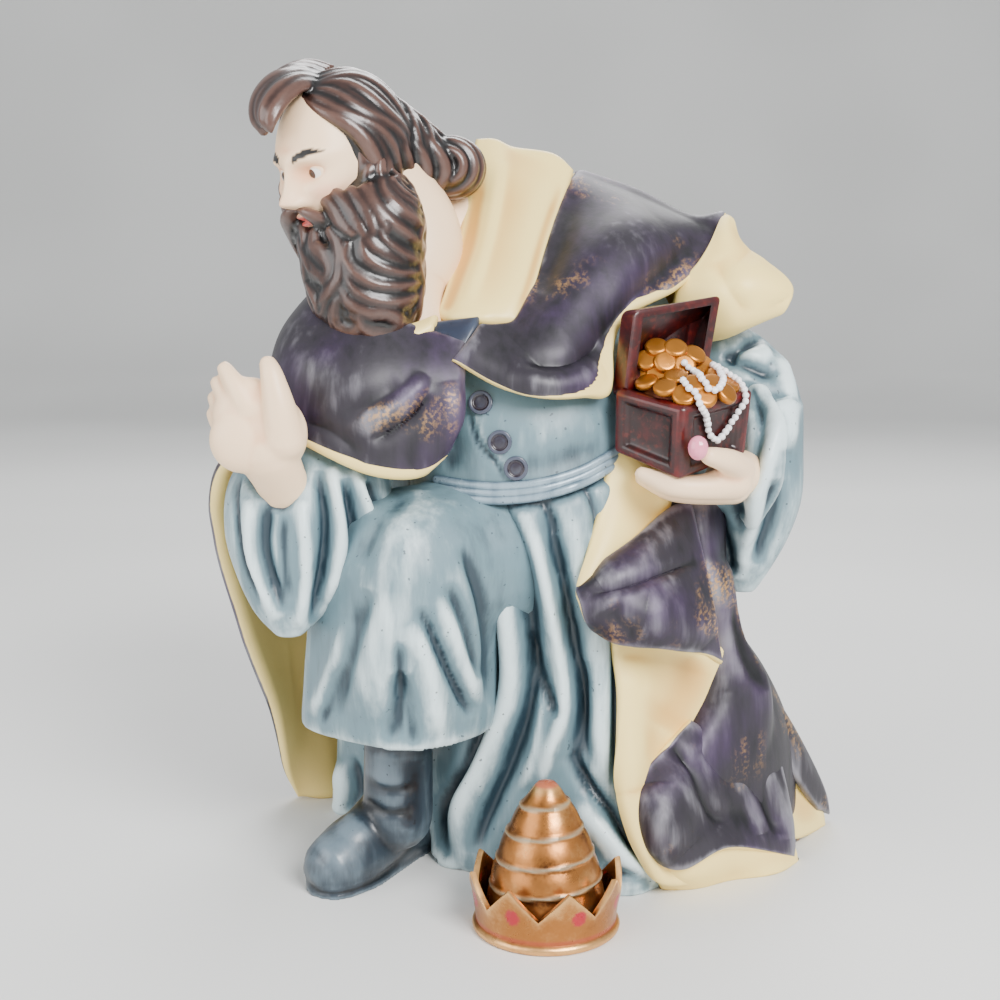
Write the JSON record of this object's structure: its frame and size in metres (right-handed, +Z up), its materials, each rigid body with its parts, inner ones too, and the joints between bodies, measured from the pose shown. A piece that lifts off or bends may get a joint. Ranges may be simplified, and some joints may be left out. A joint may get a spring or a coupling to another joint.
{
  "type": "nativity wise man figurine",
  "caption": "Kneeling nativity wise man in painted porcelain, one hand raised, an open treasure chest in the other, his crown set down before him.",
  "frame": {"origin": "middle of the whole piece's footprint box, on the surface that it stands on", "axes": "+Z up, the man faces -Y with his head turned to -X, his left hand with the chest is at +X"},
  "size_m": [0.1786, 0.1356, 0.2074],
  "materials": {
    "painted_porcelain": "matt and satin hand paint on bisque porcelain, dark wash in the folds and pale dry-brushed crests",
    "antique_gold_paint": "metallic antique gold paint, rubbed darker in the hollows, with red painted dots"
  },
  "bodies": {
    "root": {"wise_man": "painted_porcelain", "crown": "antique_gold_paint"}
  },
  "joints": []
}
